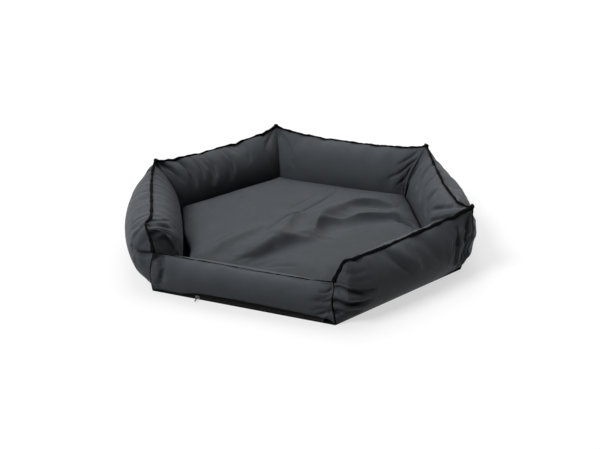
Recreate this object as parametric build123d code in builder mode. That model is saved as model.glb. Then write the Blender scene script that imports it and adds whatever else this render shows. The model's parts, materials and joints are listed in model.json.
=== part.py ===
from build123d import *
import math
import os

os.makedirs("parts", exist_ok=True)

# Six-sided dog bed. +Z is up and the low entry side faces -Y. The origin is on the
# floor, under the middle of the whole bed. Lengths are in millimetres.

# Plan of the ring, along the line where the bolsters meet the base panel
front_length = 514.0
back_length = 504.0
left_reach = 482.0
right_reach = 467.0
ring_depth = 840.0

# Rim of the ring
peak_height = 194.0
shoulder_height = 184.0
entry_height = 110.0
rim_sag = 28.0
entry_sag = 12.0
right_peak_lean = 26.0
back_peak_set = 9.0
left_peak_set = 24.0
right_shoulder_lean = 6.0
left_shoulder_lean = 16.0
entry_left_set = 8.0
entry_right_set = 26.0
entry_rim_set = 28.0
rim_set = 6.0

# Cross-section of a bolster at mid-length: outer bow, inner bow and depth at the floor
right_front_section = (48.0, 50.0, 66.0)
right_back_section = (70.0, 44.0, 54.0)
back_section = (62.0, 56.0, 78.0)
left_back_section = (62.0, 52.0, 68.0)
left_front_section = (70.0, 52.0, 66.0)
entry_section = (34.0, 36.0, 72.0)
# At a corner
corner_bow = 8.0
corner_foot_depth = 98.0

# Cloth, seams and gaps
cloth = 1.2
base_cloth = 1.5
seat_gap = 0.3
mitre_gap = 0.2
seam_half_width = 2.0
seam_crest_half = 0.9
seam_rise = 3.0
fill_tip_half = 2.0
corner_seam_gap = 0.5
corner_seam_height = 1.9
corner_seam_half = 0.9

# Front zip
zip_height = 6.6
zip_left_end = 129.0
zip_right_end = 220.0
tape = 0.7
coil_width = 2.4
coil_depth = 2.2
channel_half = 0.7
band_height = 18.0
placket_room = 1.5
zip_clearance = 0.3
stop_length = 3.0

# Slider and pull
slider_length = 11.0
plate = 1.1
flange = 1.0
neck_half = 0.4
neck_length = 1.6
slider_corner = 1.6
slider_taper = 1.0
bridge_half_width = 0.6
bridge_half_length = 4.1
bridge_leg = 1.2
bridge_bar = 1.2
crossbar_radius = 0.55
crossbar_room = 2.8
eye_half_width = 1.6
pull_arm = 0.9
pull_thickness = 1.1
pull_length = 18.0
pull_tip_half = 1.9
pull_droop = 8.0

# Cushion in the well
cushion_clearance = 2.5
cushion_corner = 62.0
cushion_seam_height = 50.0
cushion_crown = 32.0
cushion_edge_tuck = 7.0

# Folds of the loose cover across the cushion: rise, and half widths on the left and right of the crest
main_fold_rise = 9.0
main_fold_left = 48.0
main_fold_right = 86.0
side_fold_rise = 4.0
side_fold_left = 26.0
side_fold_right = 40.0
fold_root = 3.0
fold_table = {
    "main": (main_fold_rise, main_fold_left, main_fold_right),
    "side": (side_fold_rise, side_fold_left, side_fold_right),
}

# Shares along a side at which its cross-section is drawn
station_shares = (0.0, 0.06, 0.17, 0.33, 0.5, 0.67, 0.83, 0.94, 1.0)
# How far the front panel's lower edge is lifted off the base at each of them
front_lift_shares = (0.0, 1.0, 1.0, 1.0, 1.0, 1.0, 1.0, 1.0, 0.0)
# Cushion top: rise as a share of the crown, inset as a share of the well's half width
crown_rise_shares = (0.0, 0.42, 0.68, 0.87, 1.0)
crown_inset_shares = (0.0, 0.04, 0.15, 0.4, 0.78)
# Crests of the cushion's folds in plan, from the middle of the well, as shares of its half width
fold_crest_shares = {
    "main": ((-0.22, -0.72), (-0.12, -0.36), (-0.01, 0.04), (0.15, 0.36), (0.30, 0.66)),
    "side": ((-0.47, -0.76), (-0.42, -0.66), (-0.35, -0.54), (-0.27, -0.40), (-0.20, -0.28)),
}
# Rise and width of a fold at each point of its crest, as shares of the fold's own
fold_rise_shares = (-0.12, 0.85, 1.0, 0.85, -0.12)
fold_width_shares = (0.45, 0.9, 1.0, 0.9, 0.45)
# Cushion side band: height as a share of the seam height, inset as a share of the tuck
band_height_shares = (0.0, 0.45, 1.0)
band_inset_shares = (1.0, 0.0, 0.7)
# How quickly a bolster fills out from its corners: a power of the sine along it
corner_fullness = 0.42
# Shares of the corners' difference in reach and in lean that show in the overall width
reach_shares = (0.5, 0.122)

# Zip, in section: offsets outwards from the front base line
tape_front = -(cloth + seat_gap)
tape_back = tape_front - tape
coil_front = tape_front + coil_depth
front_plate_back = coil_front + zip_clearance
front_plate_front = front_plate_back + plate
back_plate_front = tape_back - zip_clearance
back_plate_back = back_plate_front - plate
placket_front = back_plate_back - placket_room
placket_back = placket_front - cloth
zip_bay_depth = seat_gap - placket_back
pivot_depth = front_plate_front + crossbar_room / 2
droop = math.radians(pull_droop)
coil_outer = channel_half + coil_width

# The box of the whole bed, from the back bolster to the tip of the pull, is centred on the origin
back_reach = back_section[0] - rim_set / 2
pull_reach = pivot_depth + pull_length * math.cos(droop)
lean_difference = right_peak_lean + left_peak_set
shift_x = (left_reach - right_reach) * reach_shares[0] - lean_difference * reach_shares[1]
shift_y = (pull_reach - back_reach) / 2

half_front = front_length / 2
half_back = back_length / 2
half_depth = ring_depth / 2
floor_level = base_cloth

# Corner name: x, y, rim height, how far the rim leans out
corner_table = {
    "front_right": (half_front, -half_depth, entry_height, -entry_right_set),
    "right": (right_reach, 0.0, peak_height, right_peak_lean),
    "back_right": (half_back, half_depth, peak_height, -back_peak_set),
    "back_left": (-half_back, half_depth, peak_height, -back_peak_set),
    "left": (-left_reach, 0.0, peak_height, -left_peak_set),
    "front_left": (-half_front, -half_depth, entry_height, -entry_left_set),
}
corner_names = list(corner_table)
# Each side runs from the corner above to the next: its cross-section at mid-length
side_table = {
    "right_front": right_front_section,
    "right_back": right_back_section,
    "back": back_section,
    "left_back": left_back_section,
    "left_front": left_front_section,
    "front": entry_section,
}
side_names = list(side_table)
# Each side that ends beside the entry: how far its shoulder leans out, and its height
shoulder_table = {
    "right_front": (right_shoulder_lean, shoulder_height),
    "left_front": (left_shoulder_lean, shoulder_height),
}


def corner_point(name):
    x, y = corner_table[name][:2]
    return Vector(x + shift_x, y + shift_y)


def side_corners(side):
    index = side_names.index(side)
    return corner_names[index], corner_names[(index + 1) % len(corner_names)]


def side_line(side):
    """Start of a side's base line, its direction, its length and its outward normal."""
    start, end = (corner_point(name) for name in side_corners(side))
    along = (end - start).normalized()
    return start, along, (end - start).length, Vector(along.Y, -along.X)


def corner_mitre(name):
    """Direction in plan that halves the corner and points outwards."""
    index = corner_names.index(name)
    before = side_line(side_names[index - 1])[3]
    after = side_line(side_names[index])[3]
    return (before + after).normalized()


class Bow:
    """Arc from a foot to a rim point, bowed to one side of the chord between them."""

    def __init__(self, foot, rim, sagitta, side):
        run, rise = rim[0] - foot[0], rim[1] - foot[1]
        chord = math.hypot(run, rise)
        self.side = side
        self.radius = (chord * chord / 4 + sagitta * sagitta) / (2 * sagitta)
        reach = sagitta - self.radius
        self.x = (foot[0] + rim[0]) / 2 + side * reach * rise / chord
        self.y = (foot[1] + rim[1]) / 2 - side * reach * run / chord
        self.rim_angle = math.atan2(rim[1] - self.y, side * (rim[0] - self.x))

    def point(self, depth, angle):
        radius = self.radius - depth
        return self.x + self.side * radius * math.cos(angle), self.y + radius * math.sin(angle)

    def ends(self, depth, level, trim):
        """Angles of the arc at this depth under the cloth, cut at a level and short of the rim."""
        foot_sine = max(-1.0, (level - self.y) / (self.radius - depth))
        return math.asin(foot_sine), self.rim_angle - trim / self.radius

    def draw(self, depth, level, trim):
        low, high = self.ends(depth, level, trim)
        return ThreePointArc(*(self.point(depth, a) for a in (low, (low + high) / 2, high)))


class Section:
    """Cross-section of a bolster at one station: its plane, rim, and outer and inner bows."""

    def __init__(self, side, index):
        share = station_shares[index]
        self.entry = entry = side == "front"
        start, along, length, outward = side_line(side)
        names = side_corners(side)
        at_end = share in (0.0, 1.0)
        full = max(0.0, math.sin(math.pi * share)) ** corner_fullness
        near = names[0] if share < 0.5 else names[1]

        # The section's plane turns from the corner's mitre to square across the side
        mitre = corner_mitre(near)
        slant = mitre.dot(along) / mitre.dot(outward) * (1 - full)
        stretch = math.hypot(1, slant)
        across = (outward + along * slant).normalized()
        inset = mitre_gap if share == 0 else -mitre_gap if share == 1 else 0
        base = start + along * (share * length + inset)
        self.plane = Plane(
            origin=(base.X, base.Y, 0),
            x_dir=(across.X, across.Y, 0),
            z_dir=(across.Y, -across.X, 0),
        )

        # The rim sags between its corners; a tall side ends in a shoulder above the entry
        heights = [corner_table[name][2] for name in names]
        leans = [corner_table[name][3] for name in names]
        if at_end:
            rim = (leans[round(share)], heights[round(share)])
        else:
            if not entry:
                shoulder = shoulder_table.get(side, (0.0, 0.0))
                beside_entry = [height == entry_height for height in heights]
                leans = [shoulder[0] if low else lean for low, lean in zip(beside_entry, leans)]
                heights = [shoulder[1] if low else height for low, height in zip(beside_entry, heights)]
            mid_set = entry_rim_set if entry else rim_set
            sag = entry_sag if entry else rim_sag
            lean = leans[0] + (leans[1] - leans[0]) * share
            height = heights[0] + (heights[1] - heights[0]) * share
            rim = ((lean * (1 - full) - mid_set * full) * stretch, height - sag * full)

        self.lift = front_lift_shares[index] * (band_height + seat_gap - floor_level) if entry else 0.0
        self.stretch = stretch
        foot_depth = side_table[side][2]
        foot = -(corner_foot_depth + (foot_depth - corner_foot_depth) * full) * stretch
        outer_bow, inner_bow = (corner_bow + (bow - corner_bow) * full for bow in side_table[side][:2])
        self.foot_level = floor_level + self.lift
        self.outer = Bow((0, self.foot_level), rim, outer_bow, 1)
        self.inner = Bow((foot, floor_level), rim, inner_bow, -1)
        self.rim = rim
        # Half of the angle that the two panels make where they meet
        self.half_angle = (self.outer.rim_angle + self.inner.rim_angle) / 2

    def trim(self, depth, room):
        """How far short of the rim two layers of this depth stop, to stay apart by twice the room."""
        need = (depth * math.cos(self.half_angle) + room) / math.sin(self.half_angle)
        return max(seam_half_width, need)


def bow_strip(bow, near, far, level, trim):
    """Strip between two depths under a bow, from a level up to short of the rim."""
    with BuildSketch(Plane.XY) as strip:
        with BuildLine():
            near_line = bow.draw(near, level, trim)
            far_line = bow.draw(far, level, trim)
            Line(near_line @ 0, far_line @ 0)
            Line(near_line @ 1, far_line @ 1)
        make_face()
    return strip.sketch


def outer_panel_face(section):
    return bow_strip(section.outer, 0, cloth, section.foot_level, section.trim(cloth, seat_gap))


def inner_panel_face(section):
    return bow_strip(section.inner, 0, cloth, floor_level, section.trim(cloth, seat_gap))


def stuffing_face(section):
    depth = cloth + seat_gap
    trim = section.trim(depth, fill_tip_half)
    # The front stuffing stands back a little more, where its panel dips at the corners
    outer_depth = depth + 2 * seat_gap if section.entry else depth
    outer_level = band_height + seat_gap if section.entry else floor_level
    with BuildSketch(Plane.XY) as face:
        with BuildLine():
            outer_line = section.outer.draw(outer_depth, outer_level, trim)
            inner_line = section.inner.draw(depth, floor_level, trim)
            Line(outer_line @ 1, inner_line @ 1)
            if section.entry:
                bay = -zip_bay_depth * section.stretch
                Polyline(outer_line @ 0, (bay, outer_level), (bay, floor_level), inner_line @ 0)
            else:
                Line(outer_line @ 0, inner_line @ 0)
        make_face()
    return face.sketch


def top_seam_face(section):
    trim = section.trim(cloth, seat_gap) - seat_gap
    rim_x, rim_y = section.rim
    crest = rim_y + seam_rise
    outer_point = section.outer.point(0, section.outer.rim_angle - trim / section.outer.radius)
    inner_point = section.inner.point(0, section.inner.rim_angle - trim / section.inner.radius)
    crest_points = ((rim_x - seam_crest_half, crest), (rim_x + seam_crest_half, crest))
    with BuildSketch(Plane.XY) as face:
        Polygon(outer_point, inner_point, *crest_points, align=None)
    return face.sketch


def loft_along(sections, draw_face):
    """Loft through one face on each section's plane."""
    with BuildPart() as body:
        for section in sections:
            with BuildSketch(section.plane):
                add(draw_face(section))
        loft(ruled=True)
    return body.part


def finish(part, name):
    part.label = name
    export_step(part, f"parts/{name}.step")


front_y = -half_depth + shift_y

# Bolsters
bolster_layers = (
    ("outer_panel", outer_panel_face),
    ("inner_panel", inner_panel_face),
    ("stuffing", stuffing_face),
    ("top_seam", top_seam_face),
)
for side in side_names:
    sections = [Section(side, index) for index in range(len(station_shares))]
    for layer, draw_face in bolster_layers:
        with BuildPart() as bolster_layer:
            add(loft_along(sections, draw_face))
        finish(bolster_layer.part, f"{side}_{layer}")

# Seams down the outer corners, each a rib that follows the corner's own bow
for name in corner_names:
    x, y, height, lean = corner_table[name]
    mitre = corner_mitre(name)
    point = corner_point(name)
    bow = Bow((0, floor_level), (lean, height), corner_bow, 1)
    low_end = floor_level + seat_gap
    with BuildPart() as corner_seam:
        plane = Plane(
            origin=(point.X, point.Y, 0),
            x_dir=(mitre.X, mitre.Y, 0),
            z_dir=(mitre.Y, -mitre.X, 0),
        )
        with BuildSketch(plane):
            crest_depth = -corner_seam_gap - corner_seam_height
            add(bow_strip(bow, -corner_seam_gap, crest_depth, low_end, 2 * seam_half_width))
        if height > entry_height:
            extrude(amount=corner_seam_half, both=True)
        else:
            # Beside a shoulder the rib lies on the front bolster's side of the corner
            extrude(amount=math.copysign(2 * corner_seam_half, x))
    finish(corner_seam.part, f"{name}_corner_seam")

# Base panel, flat on the floor
with BuildPart() as base_panel:
    with BuildSketch():
        Polygon(*(corner_point(name) for name in corner_names), align=None)
    extrude(amount=base_cloth)
finish(base_panel.part, "base_panel")


def front_strip(x_from, x_to, y_from, y_to, z_from, z_to):
    """Straight strip along the front, placed by its two ends, its two faces and its height."""
    with BuildPart() as strip:
        with BuildSketch(Plane.XY.offset(z_from)):
            with Locations(((x_from + x_to) / 2 + shift_x, front_y - (y_from + y_to) / 2)):
                Rectangle(x_to - x_from, abs(y_to - y_from))
        extrude(amount=z_to - z_from)
    return strip.part


# Front zip: tapes, coil halves, end stops and placket
tape_half = half_front - front_length * station_shares[1] - seat_gap
with BuildPart() as lower_tape:
    add(front_strip(-tape_half, tape_half, tape_back, tape_front, floor_level, zip_height - channel_half))
finish(lower_tape.part, "zip_lower_tape")

with BuildPart() as upper_tape:
    add(front_strip(-tape_half, tape_half, tape_back, tape_front, zip_height + channel_half, band_height))
finish(upper_tape.part, "zip_upper_tape")

with BuildPart() as placket:
    add(front_strip(-tape_half, tape_half, placket_back, placket_front, floor_level, band_height))
finish(placket.part, "zip_placket")

for name, sign in (("zip_upper_coil", 1), ("zip_lower_coil", -1)):
    with BuildPart() as coil:
        plane = Plane(
            origin=(-zip_left_end + shift_x, front_y - tape_front, zip_height),
            x_dir=(0, -1, 0),
            z_dir=(1, 0, 0),
        )
        with BuildSketch(plane):
            with BuildLine():
                inner_edge, outer_edge = -sign * channel_half, -sign * coil_outer
                bend = coil_depth / 2
                Polyline((bend, inner_edge), (0, inner_edge), (0, outer_edge), (bend, outer_edge))
                Spline((bend, inner_edge), (coil_depth, (inner_edge + outer_edge) / 2), (bend, outer_edge))
            make_face()
        extrude(amount=zip_left_end + zip_right_end)
    finish(coil.part, name)

with BuildPart() as end_stops:
    for x_from in (-zip_left_end - seat_gap - stop_length, zip_right_end + seat_gap):
        add(front_strip(
            x_from, x_from + stop_length, tape_front, coil_front,
            zip_height - coil_outer, zip_height + coil_outer,
        ))
finish(end_stops.part, "zip_end_stops")

# Slider, parked at the closed end of the zip
slider_x = -zip_left_end + slider_length / 2 + shift_x
slider_half = coil_outer + zip_clearance + flange
slider_plane = Plane(
    origin=(slider_x, front_y, zip_height),
    x_dir=(1, 0, 0),
    z_dir=(0, -1, 0),
)


def slider_outline():
    """Shield shape: wide at the mouth, where the neck is, and narrower at the tail."""
    mouth, tail = -slider_length / 2, slider_length / 2
    with BuildSketch(Plane.XY) as outline:
        Polygon(
            (mouth, slider_half), (slider_length / 4, slider_half), (tail, slider_half - slider_taper),
            (tail, -slider_half + slider_taper), (slider_length / 4, -slider_half), (mouth, -slider_half),
            align=None,
        )
        fillet(outline.vertices().group_by(Axis.X)[0], slider_corner)
    return outline.sketch


with BuildPart() as slider:
    for depth in (front_plate_back, back_plate_back):
        with BuildSketch(slider_plane.offset(depth)):
            add(slider_outline())
        extrude(amount=plate)
    # Side flanges, turned back round the coils and stopping short of the tape
    flange_foot = tape_front + zip_clearance
    with BuildSketch(slider_plane.offset(flange_foot)):
        for sign in (1, -1):
            with Locations((-slider_taper, sign * (slider_half - flange / 2))):
                Rectangle(slider_length / 2 + slider_taper, flange)
    extrude(amount=front_plate_back - flange_foot)
    # Neck between the plates, at the mouth
    with BuildSketch(slider_plane.offset(back_plate_front)):
        with Locations((-slider_length / 2 + neck_length, 0)):
            SlotOverall(2 * neck_length, 2 * neck_half)
    extrude(amount=front_plate_back - back_plate_front)
    # Bridge over the pull's crossbar
    with BuildSketch(Plane(slider_plane.origin, x_dir=(1, 0, 0), z_dir=(0, 0, 1))):
        with BuildLine():
            base_y = -front_plate_front
            under_y = base_y - crossbar_room
            over_y = under_y - bridge_bar
            inner_x = bridge_half_length - bridge_leg
            Polyline(
                (-inner_x, base_y), (-bridge_half_length, base_y), (-bridge_half_length, under_y),
                (-inner_x, over_y), (inner_x, over_y), (bridge_half_length, under_y),
                (bridge_half_length, base_y), (inner_x, base_y), (inner_x, under_y),
                (-inner_x, under_y), close=True,
            )
        make_face()
    extrude(amount=bridge_half_width, both=True)
finish(slider.part, "zip_slider")

# Pull: crossbar under the bridge, two arms past it, and a tapered tab
pivot = Vector(slider_x, front_y - pivot_depth, zip_height)
eye_length = math.hypot(bridge_half_length, crossbar_room / 2 + bridge_bar) + 2 * zip_clearance
pull_plane = Plane(
    origin=pivot,
    x_dir=(0, -math.cos(droop), -math.sin(droop)),
    z_dir=(1, 0, 0),
)
eye_outer = eye_half_width + pull_arm
with BuildPart() as pull:
    with BuildSketch(pull_plane):
        with BuildLine():
            Polyline(
                (0, eye_outer), (eye_length + eye_outer, eye_outer), (pull_length, pull_tip_half),
                (pull_length, -pull_tip_half), (eye_length + eye_outer, -eye_outer), (0, -eye_outer),
                close=True,
            )
        make_face()
        with Locations((eye_length / 2, 0)):
            Rectangle(eye_length, 2 * eye_half_width, mode=Mode.SUBTRACT)
    extrude(amount=pull_thickness / 2, both=True)
    fillet(pull.edges().filter_by(Axis.X).sort_by(Axis.Y)[:2], pull_tip_half / 2)
    bar_plane = Plane(pivot, x_dir=(1, 0, 0), z_dir=(0, -math.sin(droop), math.cos(droop)))
    with BuildSketch(bar_plane):
        Circle(crossbar_radius)
    extrude(amount=eye_outer, both=True)
finish(pull.part, "zip_pull")


# Cushion in the well
def deepest_bow(side):
    """How far the inner face of a bolster reaches in from its base line at mid-length."""
    bow = Section(side, len(station_shares) // 2).inner
    return bow.radius - bow.x


def well_side(side):
    """A point and the directions, along and outwards, of a side of the well left for the cushion."""
    start, along, length, outward = side_line(side)
    return start - outward * (deepest_bow(side) + cushion_clearance), along, outward


def well_corner(name):
    """Where the two sides of the well at a corner meet."""
    index = corner_names.index(name)
    point, along, outward = well_side(side_names[index - 1])
    other, direction, outward = well_side(side_names[index])
    reach = (other - point).cross(direction).Z / along.cross(direction).Z
    return point + along * reach


well_corners = [well_corner(name) for name in corner_names]
well_centre = sum(well_corners, Vector()) / len(well_corners)
# From the middle of the well to its nearest side
well_half = min((point - well_centre).dot(outward) for point, _, outward in map(well_side, side_names))


def cushion_outline(inset):
    """Outline of the well drawn in towards its middle, by the inset at its nearest side."""
    share = inset / well_half
    with BuildSketch(Plane.XY) as outline:
        Polygon(*(point + (well_centre - point) * share for point in well_corners), align=None)
        fillet(outline.vertices(), cushion_corner * (1 - share))
    return outline.sketch


def cushion_loft(levels):
    """Loft through outlines given as (height, inset)."""
    with BuildPart() as body:
        for height, inset in levels:
            with BuildSketch(Plane.XY.offset(height)):
                add(cushion_outline(inset))
        loft(ruled=True)
    return body.part


def crown_height(point):
    """Height of the cushion's plain top at a point of the plan."""
    reach = max(
        (point - well_centre).dot(outward) / (corner - well_centre).dot(outward)
        for corner, _, outward in map(well_side, side_names)
    )
    inset = (1 - reach) * well_half
    levels = list(zip(crown_levels, crown_levels[1:]))
    for (low, near), (high, far) in levels:
        if inset <= far:
            return low + (high - low) * (inset - near) / (far - near)
    return crown_levels[-1][0]


def cushion_fold(name, drop):
    """Ridge of loose cover along a crest, its foot sunk into the cushion, lowered by the drop."""
    rise, left, right = fold_table[name]
    crest = [well_centre + Vector(x, y) * well_half for x, y in fold_crest_shares[name]]
    with BuildPart() as fold:
        for index, (point, tall, wide) in enumerate(zip(crest, fold_rise_shares, fold_width_shares)):
            before, after = crest[max(index - 1, 0)], crest[min(index + 1, len(crest) - 1)]
            ahead = (after - before).normalized()
            station = Plane(
                origin=point + Vector(0, 0, crown_height(point) - drop),
                x_dir=Vector(0, 0, 1).cross(ahead), z_dir=ahead,
            )
            with BuildSketch(station):
                with BuildLine():
                    Spline((left * wide, -fold_root), (0, rise * tall), (-right * wide, -fold_root))
                    Line((-right * wide, -fold_root), (left * wide, -fold_root))
                make_face()
        loft()
    return fold.part


cushion_floor = floor_level + seat_gap
panel_top = cushion_floor + cloth
seam_level = cushion_seam_height
band_levels = [
    (panel_top + seat_gap + share * (seam_level - panel_top - seat_gap), tuck * cushion_edge_tuck)
    for share, tuck in zip(band_height_shares, band_inset_shares)
]
top_edge = band_levels[-1][1]
crown_levels = [
    (seam_level + seat_gap + rise * cushion_crown, top_edge + inset * well_half)
    for rise, inset in zip(crown_rise_shares, crown_inset_shares)
]

with BuildPart() as cushion_bottom:
    with BuildSketch(Plane.XY.offset(cushion_floor)):
        add(cushion_outline(cushion_edge_tuck))
    extrude(amount=cloth)
finish(cushion_bottom.part, "mattress_bottom_panel")

with BuildPart() as cushion_band:
    add(cushion_loft(band_levels))
    add(cushion_loft([(height, inset + cloth) for height, inset in band_levels]), mode=Mode.SUBTRACT)
finish(cushion_band.part, "mattress_side_band")

with BuildPart() as cushion_top:
    add(cushion_loft(crown_levels))
    for name in fold_table:
        add(cushion_fold(name, 0))
    under_levels = [(height - cloth, inset) for height, inset in crown_levels]
    under_levels[0] = (crown_levels[0][0], crown_levels[0][1] + cloth)
    add(cushion_loft(under_levels), mode=Mode.SUBTRACT)
    for name in fold_table:
        add(cushion_fold(name, cloth), mode=Mode.SUBTRACT)
finish(cushion_top.part, "mattress_top_panel")

with BuildPart() as cushion_fill:
    fill_gap = cloth + seat_gap
    fill_levels = [(height, inset + fill_gap) for height, inset in band_levels]
    fill_levels += [(height - fill_gap, inset + fill_gap) for height, inset in crown_levels[1:]]
    add(cushion_loft(fill_levels))
    for name in fold_table:
        add(cushion_fold(name, fill_gap))
finish(cushion_fill.part, "mattress_filling")
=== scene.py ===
import json
import math

import bpy
import numpy as np
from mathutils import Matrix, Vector, geometry, noise


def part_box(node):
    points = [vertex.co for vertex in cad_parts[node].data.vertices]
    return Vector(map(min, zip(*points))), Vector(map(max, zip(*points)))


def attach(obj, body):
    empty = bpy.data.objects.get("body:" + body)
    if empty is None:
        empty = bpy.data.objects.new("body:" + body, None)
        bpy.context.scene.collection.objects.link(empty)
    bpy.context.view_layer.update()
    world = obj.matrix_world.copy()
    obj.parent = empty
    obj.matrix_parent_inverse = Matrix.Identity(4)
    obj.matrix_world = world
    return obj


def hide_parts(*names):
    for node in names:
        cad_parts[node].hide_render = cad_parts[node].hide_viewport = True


# Looks of a six-sided dog bed: stuffed cloth bolsters, a cushion and a zip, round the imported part.
# Lengths are in metres, in the part's own frame: +Z up, the low entry side faces -Y.

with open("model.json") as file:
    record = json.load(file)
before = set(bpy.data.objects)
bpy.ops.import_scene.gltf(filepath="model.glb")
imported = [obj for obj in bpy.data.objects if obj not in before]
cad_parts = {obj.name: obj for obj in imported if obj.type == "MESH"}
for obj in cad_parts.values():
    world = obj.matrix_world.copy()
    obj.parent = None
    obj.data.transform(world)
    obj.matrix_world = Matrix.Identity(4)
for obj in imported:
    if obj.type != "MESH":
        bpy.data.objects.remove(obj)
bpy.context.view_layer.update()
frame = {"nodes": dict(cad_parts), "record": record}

# Rim of the ring
peak_height = 0.194
shoulder_height = 0.184
entry_height = 0.11
rim_sag = 0.028
entry_sag = 0.012
rim_set = 0.006
entry_rim_set = 0.028
# Share of each side beside the entry over which it falls from its shoulder to the low corner
shoulder_shares = {"right_front": 0.06, "left_front": 0.115}

# Cross-sections: outer bow, inner bow and depth at the floor, at mid-length and at a corner
side_sections = {
    "right_front": (0.048, 0.048, 0.066),
    "right_back": (0.07, 0.042, 0.054),
    "back": (0.062, 0.054, 0.078),
    "left_back": (0.062, 0.05, 0.068),
    "left_front": (0.075, 0.05, 0.066),
    "front": (0.034, 0.034, 0.072),
}
corner_bow = 0.008
corner_foot_depth = 0.098
corner_fullness = 0.42

# Corner name: rim height, how far the rim leans out
corner_rims = {
    "front_right": (entry_height, -0.026),
    "right": (peak_height, 0.026),
    "back_right": (peak_height, -0.009),
    "back_left": (peak_height, -0.009),
    "left": (peak_height, -0.024),
    "front_left": (entry_height, -0.008),
}
# Each side that ends beside the entry: how far its shoulder leans out
shoulder_leans = {"right_front": 0.006, "left_front": 0.016}

# Grid of cloth: lowest level, gap at a mitre, cell, crowding towards the ends, and counts of rows
floor_level = 0.0015
mitre_gap = 0.0002
cell = 0.0055
crowding = 0.5
high_rows = 34
entry_rows = 24
bottom_rows = 6
# Decimals by which the base panel's corners are told apart
place_digits = 5
corner_names = list(corner_rims)
side_names = list(side_sections)

# Where the front panel's hem rises off the floor over the zip: share along the entry, height
hem_shares = (0.0, 0.05, 0.17, 0.235, 0.32, 0.6, 0.82, 0.95, 1.0)
hem_heights = (0.0015, 0.0045, 0.0065, 0.015, 0.0185, 0.019, 0.0175, 0.0125, 0.0015)

# Where the rim dips between its stitches, as shares along each side, with each dip's depth
rim_dips = {
    "right_front": ((0.13, 0.003), (0.42, 0.002), (0.72, 0.003), (0.9, 0.004)),
    "right_back": ((0.16, 0.004), (0.47, 0.005), (0.78, 0.003)),
    "back": ((0.14, 0.002), (0.33, 0.002), (0.66, 0.004), (0.8, 0.003)),
    "left_back": ((0.12, 0.004), (0.34, 0.004), (0.62, 0.003), (0.84, 0.005)),
    "left_front": ((0.2, 0.003), (0.5, 0.002), (0.8, 0.003)),
    "front": ((0.2, 0.001), (0.55, 0.002), (0.85, 0.001)),
}
dip_width = 0.012
dip_rows = 4.0
# Where the rim steps outwards beside the entry: share along the side and distance
rim_jogs = {"left_front": ((0.83, 0.01), (0.89, 0.008))}
jog_width = 0.022

# Corner name: how far the corner is drawn aside, and the height and half height of that pull
corner_pulls = {"front_right": ((-0.009, 0.002), 0.058, 0.03)}
pull_reach = 0.035


def base_corners():
    """Corners of the base panel in plan, in the order of corner_names."""
    vertices = frame["nodes"]["base_panel"].data.vertices
    points = {(round(v.co.x, place_digits), round(v.co.y, place_digits)) for v in vertices}
    quarter = math.radians(90)
    ordered = sorted(points, key=lambda p: (math.atan2(p[1], p[0]) + quarter) % math.tau)
    return {name: np.array(point) for name, point in zip(corner_names, ordered)}


corners = base_corners()


def side_ends(side):
    index = side_names.index(side)
    return corner_names[index], corner_names[(index + 1) % len(corner_names)]


def side_line(side):
    """Start of a side's base line, its direction, its length and its outward normal, in plan."""
    start, end = (corners[name] for name in side_ends(side))
    length = np.linalg.norm(end - start)
    along = (end - start) / length
    return start, along, length, np.array([along[1], -along[0]])


def corner_mitre(name):
    """Direction in plan that halves the corner and points outwards."""
    index = corner_names.index(name)
    both = side_line(side_names[index - 1])[3] + side_line(side_names[index])[3]
    return both / np.linalg.norm(both)


def is_low(name):
    return corner_rims[name][0] == entry_height


def arc(foot, rim, sagitta, side, shares):
    """Points on the arc from a foot to a rim, bowed to one side of the chord between them."""
    run, rise = rim[0] - foot[0], rim[1] - foot[1]
    chord = math.hypot(run, rise)
    radius = (chord * chord / 4 + sagitta * sagitta) / (2 * sagitta)
    reach = sagitta - radius
    x = (foot[0] + rim[0]) / 2 + side * reach * rise / chord
    z = (foot[1] + rim[1]) / 2 - side * reach * run / chord
    low = math.atan2(foot[1] - z, side * (foot[0] - x))
    high = math.atan2(rim[1] - z, side * (rim[0] - x))
    angles = low + (high - low) * np.asarray(shares)
    return np.stack([x + side * radius * np.cos(angles), z + radius * np.sin(angles)], axis=1)


def plain_section(side, share, outer_shares, inner_shares):
    """One cross-section as 3-D points: up the outer bow, then down the inner one."""
    start, along, length, outward = side_line(side)
    names = side_ends(side)
    entry = side == "front"
    full = max(0.0, math.sin(math.pi * share)) ** corner_fullness
    mitre = corner_mitre(names[0] if share < 0.5 else names[1])
    slant = mitre @ along / (mitre @ outward) * (1 - full)
    stretch = math.hypot(1, slant)
    across = (outward + along * slant) / stretch
    inset = mitre_gap if share == 0 else -mitre_gap if share == 1 else 0
    base = start + along * (share * length + inset)
    heights, leans = zip(*(corner_rims[name] for name in names))
    if share in (0.0, 1.0):
        rim = (leans[round(share)], heights[round(share)])
    else:
        if not entry:
            leans = [shoulder_leans[side] if is_low(name) else corner_rims[name][1] for name in names]
            heights = [shoulder_height if is_low(name) else peak_height for name in names]
        lean = leans[0] + (leans[1] - leans[0]) * share
        height = heights[0] + (heights[1] - heights[0]) * share
        mid_set, sag = (entry_rim_set, entry_sag) if entry else (rim_set, rim_sag)
        rim = ((lean * (1 - full) - mid_set * full) * stretch, height - sag * full)
    outer_bow, inner_bow, foot_depth = side_sections[side]
    bows = [corner_bow + (bow - corner_bow) * full for bow in (outer_bow, inner_bow)]
    inner_foot = -(corner_foot_depth + (foot_depth - corner_foot_depth) * full) * stretch
    hem = float(np.interp(share, hem_shares, hem_heights)) if entry else floor_level
    outer = arc((0, hem), rim, bows[0], 1, outer_shares)
    inner = arc((inner_foot, floor_level), rim, bows[1], -1, inner_shares)
    flat = np.concatenate([outer, inner[::-1][1:]])
    points = np.empty((len(flat), 3))
    points[:, :2] = base + flat[:, :1] * across
    points[:, 2] = np.maximum(flat[:, 1], floor_level)
    return points


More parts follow.
